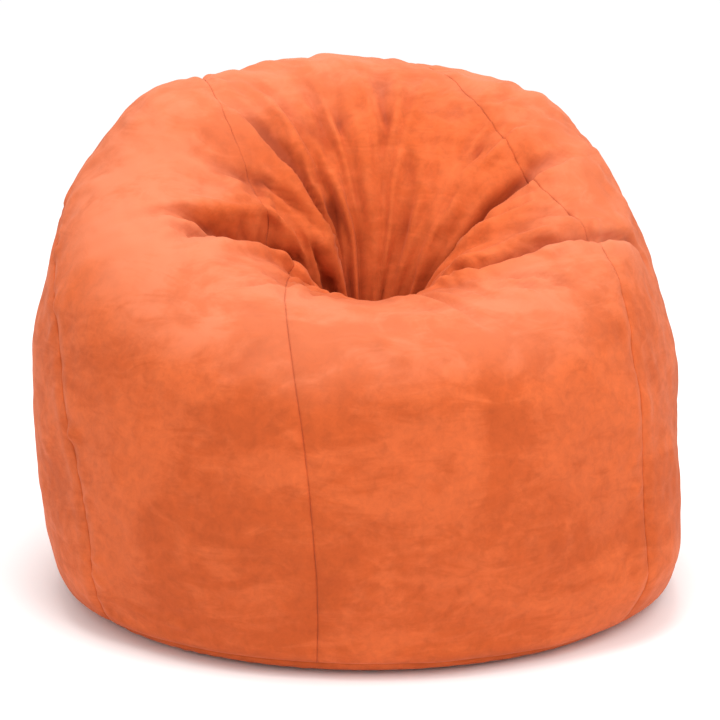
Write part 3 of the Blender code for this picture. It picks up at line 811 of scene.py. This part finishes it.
def base_mesh(name, cuts, cloth_layer, wall):
    """Part of the base, from the base seam in; each cut is (point, direction of what is cut away)."""
    grid, grid_out, painted_fold_shade, painted_highlight_mask = cloth_layer
    bm = bmesh.new()
    bmesh.ops.create_uvsphere(bm, u_segments=216, v_segments=120, radius=1.0)
    above = [face for face in bm.faces if math.acos(max(-1.0, min(1.0, face.calc_center_median().z))) < BASE_SEAM_ANGLE]
    bmesh.ops.delete(bm, geom=above, context="FACES")
    mesh = mesh_from(bm, name)
    ball = mesh_points(mesh)
    turn = np.arctan2(ball[:, 0], -ball[:, 1])
    fall = np.arccos(np.clip(ball[:, 2], -1.0, 1.0))
    points = sampled(grid, turn, fall)
    normals = sampled(grid_out, turn, fall)
    beside = (fall - BASE_SEAM_ANGLE) * np.linalg.norm(points - CORE, axis=-1)
    standing = fall > CONTACT_ANGLE
    shaped = seam_shape(points, normals, beside, turn * 0.42, 83, 0.0030, 0.0015)
    shaped = np.where(standing[:, None], points, shaped)
    shaped[:, 2] = np.maximum(shaped[:, 2], max(0.0, grid[-1, 0, 2]))
    set_mesh_points(mesh, shaped)
    # Fold mark for the painted shade in the folds and the painted highlight on their ridges
    set_mark(mesh, "fold", sampled(painted_fold_shade, turn, fall))
    # Mask for the painted highlight on upward faces
    set_mark(mesh, "painted_highlight_mask", sampled(painted_highlight_mask, turn, fall))
    bm = bmesh.new()
    bm.from_mesh(mesh)
    bpy.data.meshes.remove(mesh)
    for point, away in cuts:
        everything = list(bm.verts) + list(bm.edges) + list(bm.faces)
        bmesh.ops.bisect_plane(bm, geom=everything, dist=1e-6, plane_co=point, plane_no=away, clear_outer=True)
    if not bm.faces:
        raise RuntimeError(f"{name} is cut away to nothing")
    return walled(mesh_from(bm, name), name, wall)


def base_cuts(prefix, sides, spin):
    """Where the base halves and the tabs over the zip's ends are cut, by piece."""
    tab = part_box(f"{prefix}_zip_garage_closed_end")
    along = spin @ Vector((1.0, 0.0, 0.0))
    start = min(abs(tab[0].dot(along)), abs(tab[1].dot(along)))
    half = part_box(f"{prefix}_base_{sides[1]}")
    slit = abs(half[0].dot(spin @ Vector((0.0, 1.0, 0.0))))
    slit = min(slit, abs(half[1].dot(spin @ Vector((0.0, 1.0, 0.0)))))
    tab_side = slit - 0.0007
    pieces = {
        f"base_{sides[0]}": [((0, -slit, 0), (0, 1, 0))],
        f"base_{sides[1]}": [((0, slit, 0), (0, -1, 0))],
    }
    for end, sign in (("closed_end", 1.0), ("open_end", -1.0)):
        pieces[f"zip_garage_{end}"] = [
            ((sign * start, 0, 0), (-sign, 0, 0)), ((0, tab_side, 0), (0, 1, 0)), ((0, -tab_side, 0), (0, -1, 0)),
        ]
    return {
        piece: [(spin @ Vector(point), spin @ Vector(away)) for point, away in cuts]
        for piece, cuts in pieces.items()
    }


def foam_mesh(name, cloth_layer):
    """Shredded foam packed into the liner: one closed lumpy heap."""
    grid, grid_out, painted_fold_shade, painted_highlight_mask = cloth_layer
    bm = bmesh.new()
    bmesh.ops.create_uvsphere(bm, u_segments=240, v_segments=160, radius=1.0)
    mesh = mesh_from(bm, name)
    ball = mesh_points(mesh)
    turn = np.arctan2(ball[:, 0], -ball[:, 1])
    fall = np.arccos(np.clip(ball[:, 2], -1.0, 1.0))
    points = sampled(grid, turn, fall)
    normals = sampled(grid_out, turn, fall)
    lumps = 0.0035 * np.abs(waves(points, 0.035, 31)) + 0.0015 * np.abs(waves(points, 0.016, 32))
    free = smooth_step(0.015, 0.05, points[:, 2])
    set_mesh_points(mesh, points - normals * (lumps * free)[:, None])
    # Fold mark for the painted shade in the folds and the painted highlight on their ridges
    set_mark(mesh, "fold", sampled(painted_fold_shade, turn, fall))
    # Mask for the painted highlight on upward faces
    set_mark(mesh, "painted_highlight_mask", sampled(painted_highlight_mask, turn, fall))
    return mesh


def teeth_mesh(name, node):
    """A nylon coil seen as its separate turns, wrapped round a cord, as long as its CAD bar."""
    low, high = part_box(node)
    size, middle = high - low, (low + high) / 2
    along, across = (0, 1) if size.x > size.y else (1, 0)
    radius = min(0.0007, size.z / 2)
    spin = Matrix.Rotation(math.pi / 2, 4, "Y" if across == 0 else "X")
    middle[along] = low[along] + COIL_PITCH / 2
    bm = bmesh.new()
    bmesh.ops.create_cone(
        bm, cap_ends=True, segments=6, radius1=radius * 0.95, radius2=radius * 0.95,
        depth=size[across] * 0.98, matrix=Matrix.Translation(middle) @ spin,
    )
    turn = bpy.data.objects.new(name, mesh_from(bm, name))
    bpy.context.scene.collection.objects.link(turn)
    repeat = turn.modifiers.new("repeat", "ARRAY")
    repeat.count = int(size[along] / COIL_PITCH)
    repeat.use_relative_offset = False
    repeat.use_constant_offset = True
    step = Vector((0.0, 0.0, 0.0))
    step[along] = COIL_PITCH
    repeat.constant_offset_displace = step
    coil = bpy.data.meshes.new_from_object(turn.evaluated_get(bpy.context.evaluated_depsgraph_get()))
    one = turn.data
    bpy.data.objects.remove(turn)
    bpy.data.meshes.remove(one)
    coil.name = name
    return coil


class BEANBAG_PG_finishes(bpy.types.PropertyGroup):
    suede_with: bpy.props.FloatVectorProperty(
        name="Suede, nap lying down", description="Colour of the cover where the nap lies away",
        subtype="COLOR", min=0.0, max=1.0, default=(0.520, 0.094, 0.022),
    )
    # Painted highlight: the paler colour laid on the upward faces in place of the top light's sheen
    suede_painted_highlight: bpy.props.FloatVectorProperty(
        name="Suede, crown", description="Colour of the cover on its upper faces, where the nap catches the light",
        subtype="COLOR", min=0.0, max=1.0, default=(0.600, 0.165, 0.075),
    )
    suede_against: bpy.props.FloatVectorProperty(
        name="Suede, nap raised", description="Colour of the cover where the nap stands up",
        subtype="COLOR", min=0.0, max=1.0, default=(0.430, 0.070, 0.014),
    )
    liner: bpy.props.FloatVectorProperty(
        name="Liner cloth", description="Colour of the inner liner",
        subtype="COLOR", min=0.0, max=1.0, default=(0.80, 0.78, 0.74),
    )
    foam: bpy.props.FloatVectorProperty(
        name="Foam", description="Colour of the shredded foam",
        subtype="COLOR", min=0.0, max=1.0, default=(0.82, 0.68, 0.42),
    )
    tape: bpy.props.FloatVectorProperty(
        name="Zip tape", description="Colour of the cover's zip tape",
        subtype="COLOR", min=0.0, max=1.0, default=(0.600, 0.110, 0.040),
    )
    metal: bpy.props.FloatVectorProperty(
        name="Zip metal", description="Colour of the sliders, pull and stops",
        subtype="COLOR", min=0.0, max=1.0, default=(0.55, 0.55, 0.57),
    )


class BEANBAG_PG_sizes(bpy.types.PropertyGroup):
    cover_wall: bpy.props.FloatProperty(
        name="Cover thickness", description="Thickness of the suede and its backing",
        default=0.0025, min=0.0005, max=0.006, unit="LENGTH",
    )
    liner_wall: bpy.props.FloatProperty(
        name="Liner thickness", description="Thickness of the liner cloth",
        default=0.0010, min=0.0003, max=0.004, unit="LENGTH",
    )
    panel_across: bpy.props.IntProperty(
        name="Panel columns", description="Faces across one side panel", default=132, min=12, max=400,
    )
    panel_down: bpy.props.IntProperty(
        name="Panel rows", description="Faces down one side panel", default=236, min=12, max=600,
    )


class BEANBAG_PG_stage(bpy.types.PropertyGroup):
    distance: bpy.props.FloatProperty(
        name="Camera distance", description="From the camera to the chair's middle",
        default=3.63, min=1.0, max=12.0, unit="LENGTH",
    )
    elevation: bpy.props.FloatProperty(
        name="Camera elevation", description="Angle of the camera above the horizon",
        default=math.radians(14.0), min=0.0, max=1.5, unit="ROTATION",
    )
    lens: bpy.props.FloatProperty(
        name="Focal length", description="Focal length on a 36 mm sensor", default=109.0, min=20.0, max=300.0,
    )
    look_height: bpy.props.FloatProperty(
        name="Look-at height", description="Height of the point the camera looks at",
        default=0.3783, min=0.0, max=1.0, unit="LENGTH",
    )


class BEANBAG_OT_cover(bpy.types.Operator):
    """Six side panels and a cap, sewn together round the stuffed bag"""
    bl_idname = "beanbag.cover"
    bl_label = "Cover Panels"

    def execute(self, context):
        sizes = context.scene.bean_bag_sizes
        suede = suede_material()
        segments = (sizes.panel_across, sizes.panel_down)
        for number in range(PANELS):
            name = f"suede_panel_{number + 1}"
            mesh = side_mesh(name, 2 * math.pi * number / PANELS, math.pi / PANELS, segments, layer(), sizes.cover_wall)
            finish_piece(name, mesh, suede, [f"cover_panel_{number + 1}"])
        mesh = cap_mesh("suede_cap", layer(), sizes.cover_wall)
        finish_piece("suede_cap", mesh, suede, ["cover_cap"])
        for piece, cuts in base_cuts("cover", ("front", "back"), Matrix.Identity(3)).items():
            mesh = base_mesh(f"suede_{piece}", cuts, layer(), sizes.cover_wall)
            finish_piece(f"suede_{piece}", mesh, suede, [f"cover_{piece}"])
        return {"FINISHED"}


class BEANBAG_OT_liner(bpy.types.Operator):
    """The inner liner, four side panels with a cap and a zipped base"""
    bl_idname = "beanbag.liner"
    bl_label = "Liner"

    def execute(self, context):
        sizes = context.scene.bean_bag_sizes
        cloth = woven_material("Liner cloth", tuple(context.scene.bean_bag_finishes.liner), LINER_THREADS)
        under = layer(LINER_INSET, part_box("liner_base_left")[0].z)
        for number in range(LINER_PANELS):
            name = f"liner_side_{number + 1}"
            mesh = side_mesh(
                name, 2 * math.pi * number / LINER_PANELS, math.pi / LINER_PANELS, (72, 108), under, sizes.liner_wall,
                groove=0.002, pucker=0.0008, thin_folds=False,
            )
            finish_piece(name, mesh, cloth, [f"liner_panel_{number + 1}"])
        mesh = cap_mesh("liner_crown", under, sizes.liner_wall, 24, 96, thin_folds=False)
        finish_piece("liner_crown", mesh, cloth, ["liner_cap"])
        for piece, cuts in base_cuts("liner", ("right", "left"), Matrix.Rotation(math.pi / 2, 3, "Z")).items():
            mesh = base_mesh(f"lining_{piece}", cuts, under, sizes.liner_wall)
            finish_piece(f"lining_{piece}", mesh, cloth, [f"liner_{piece}"])
        return {"FINISHED"}


class BEANBAG_OT_foam(bpy.types.Operator):
    """Shredded foam that fills the liner"""
    bl_idname = "beanbag.foam"
    bl_label = "Foam Fill"

    def execute(self, context):
        material = speckled_material(
            "Shredded foam", tuple(context.scene.bean_bag_finishes.foam), 0.95, grain=120.0, depth=0.004, spread=0.2
        )
        heap = foam_mesh("foam_heap", layer(FOAM_INSET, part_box("foam_fill")[0].z))
        finish_piece("foam_heap", heap, material, ["foam_fill"])
        return {"FINISHED"}


class BEANBAG_OT_zips(bpy.types.Operator):
    """Nylon coils of the cover's and the liner's zips"""
    bl_idname = "beanbag.zips"
    bl_label = "Zip Coils"

    def execute(self, context):
        orange = speckled_material("Orange nylon", NYLON_ORANGE, 0.4, grain=900.0)
        white = speckled_material("White nylon", NYLON_WHITE, 0.4, grain=900.0)
        rows = (
            ("cover_zip_teeth_front", orange, "zip_teeth"), ("cover_zip_teeth_back", orange, "zip_teeth"),
            ("liner_zip_teeth_left", white, "liner_teeth"), ("liner_zip_teeth_right", white, "liner_teeth"),
        )
        for node, material, slot in rows:
            name = node.replace("teeth", "coil")
            finish_piece(name, teeth_mesh(name, node), material, [node])
        return {"FINISHED"}


class BEANBAG_OT_carried(bpy.types.Operator):
    """Finishes on the pieces that keep their own shape"""
    bl_idname = "beanbag.carried"
    bl_label = "Carried Pieces"

    def execute(self, context):
        colours = context.scene.bean_bag_finishes
        suede = suede_material()
        liner = woven_material("Liner cloth", tuple(colours.liner), LINER_THREADS)
        tape = woven_material("Zip tape", tuple(colours.tape), TAPE_THREADS)
        foam = speckled_material("Shredded foam", tuple(colours.foam), 0.95, grain=120.0, depth=0.004, spread=0.2)
        nylon = speckled_material("Orange nylon", NYLON_ORANGE, 0.4, grain=900.0)
        white = speckled_material("White nylon", NYLON_WHITE, 0.4, grain=900.0)
        metal = speckled_material("Plated zinc", tuple(colours.metal), 0.3, 1.0, 1200.0, 0.00003, 0.06)
        finishes = {
            "suede": suede, "liner_cloth": liner, "zip_tape": tape, "shredded_foam": foam,
            "zip_teeth": nylon, "liner_teeth": white, "zip_metal": metal,
        }
        slots = {row["node"]: row["material_slot"] for row in frame["record"]["subparts"]}
        for name, node in frame["nodes"].items():
            node.data.materials.clear()
            node.data.materials.append(finishes[slots[name]])
        return {"FINISHED"}


class BEANBAG_OT_stage(bpy.types.Operator):
    """A pale floor, soft studio lights and the camera"""
    bl_idname = "beanbag.stage"
    bl_label = "Studio Stage"

    def execute(self, context):
        scene = context.scene
        stage = scene.bean_bag_stage
        bm = bmesh.new()
        bmesh.ops.create_circle(bm, cap_ends=True, radius=FLOOR_RADIUS, segments=96)
        floor = bpy.data.objects.new("studio_floor", mesh_from(bm, "studio_floor"))
        scene.collection.objects.link(floor)
        material, nodes, shader, place = new_material("Studio floor", 0.9)
        pale = nodes.mix(nodes.noise(place, 1.5, 3.0), (0.93, 0.93, 0.93), (0.96, 0.96, 0.96))
        nodes.tree.links.new(pale, shader.inputs["Base Color"])
        shader.inputs["Specular IOR Level"].default_value = 0.0
        floor.data.materials.append(material)
        world = bpy.data.worlds.new("Studio")
        world.use_nodes = True
        background = world.node_tree.nodes["Background"]
        background.inputs["Color"].default_value = (1.0, 1.0, 1.0, 1.0)
        background.inputs["Strength"].default_value = SURROUND_BRIGHTNESS
        scene.world = world
        scene.view_settings.view_transform = "Standard"
        for name, place, size, power in LIGHTS:
            data = bpy.data.lights.new(name, "AREA")
            data.shape = "DISK"
            data.size = size
            data.energy = power
            lamp = bpy.data.objects.new(name, data)
            lamp.location = place
            lamp.rotation_euler = (Vector(LIGHTS_AIM) - Vector(place)).to_track_quat("-Z", "Y").to_euler()
            scene.collection.objects.link(lamp)
        camera = bpy.data.objects.new("camera", bpy.data.cameras.new("camera"))
        camera.data.lens = stage.lens
        target = Vector((0.0, 0.0, stage.look_height))
        away = Vector((0.0, -math.cos(stage.elevation), math.sin(stage.elevation))) * stage.distance
        camera.location = target + away
        camera.rotation_euler = (-away).to_track_quat("-Z", "Y").to_euler()
        scene.collection.objects.link(camera)
        scene.camera = camera
        return {"FINISHED"}


class BEANBAG_PT_panel(bpy.types.Panel):
    """The chair's sizes, finishes and pieces"""
    bl_idname = "BEANBAG_PT_panel"
    bl_label = "Bean Bag Chair"
    bl_space_type = "VIEW_3D"
    bl_region_type = "UI"
    bl_category = "Bean Bag"

    def draw(self, context):
        for group in ("bean_bag_sizes", "bean_bag_finishes", "bean_bag_stage"):
            held = getattr(context.scene, group)
            for name in held.__annotations__:
                self.layout.prop(held, name)
        for operator in OPERATORS:
            self.layout.operator(operator.bl_idname)


GROUPS = {
    "bean_bag_sizes": BEANBAG_PG_sizes,
    "bean_bag_finishes": BEANBAG_PG_finishes,
    "bean_bag_stage": BEANBAG_PG_stage,
}
OPERATORS = (
    BEANBAG_OT_carried, BEANBAG_OT_cover, BEANBAG_OT_liner, BEANBAG_OT_foam, BEANBAG_OT_zips, BEANBAG_OT_stage,
)


def register():
    for name, group in GROUPS.items():
        bpy.utils.register_class(group)
        setattr(bpy.types.Scene, name, bpy.props.PointerProperty(type=group))
    for item in (*OPERATORS, BEANBAG_PT_panel):
        bpy.utils.register_class(item)


def unregister():
    for item in (BEANBAG_PT_panel, *reversed(OPERATORS)):
        bpy.utils.unregister_class(item)
    for name, group in reversed(GROUPS.items()):
        delattr(bpy.types.Scene, name)
        bpy.utils.unregister_class(group)


def main():
    register()
    for operator in OPERATORS:
        family, action = operator.bl_idname.split(".")
        getattr(getattr(bpy.ops, family), action)()


if __name__ == "__main__":
    main()
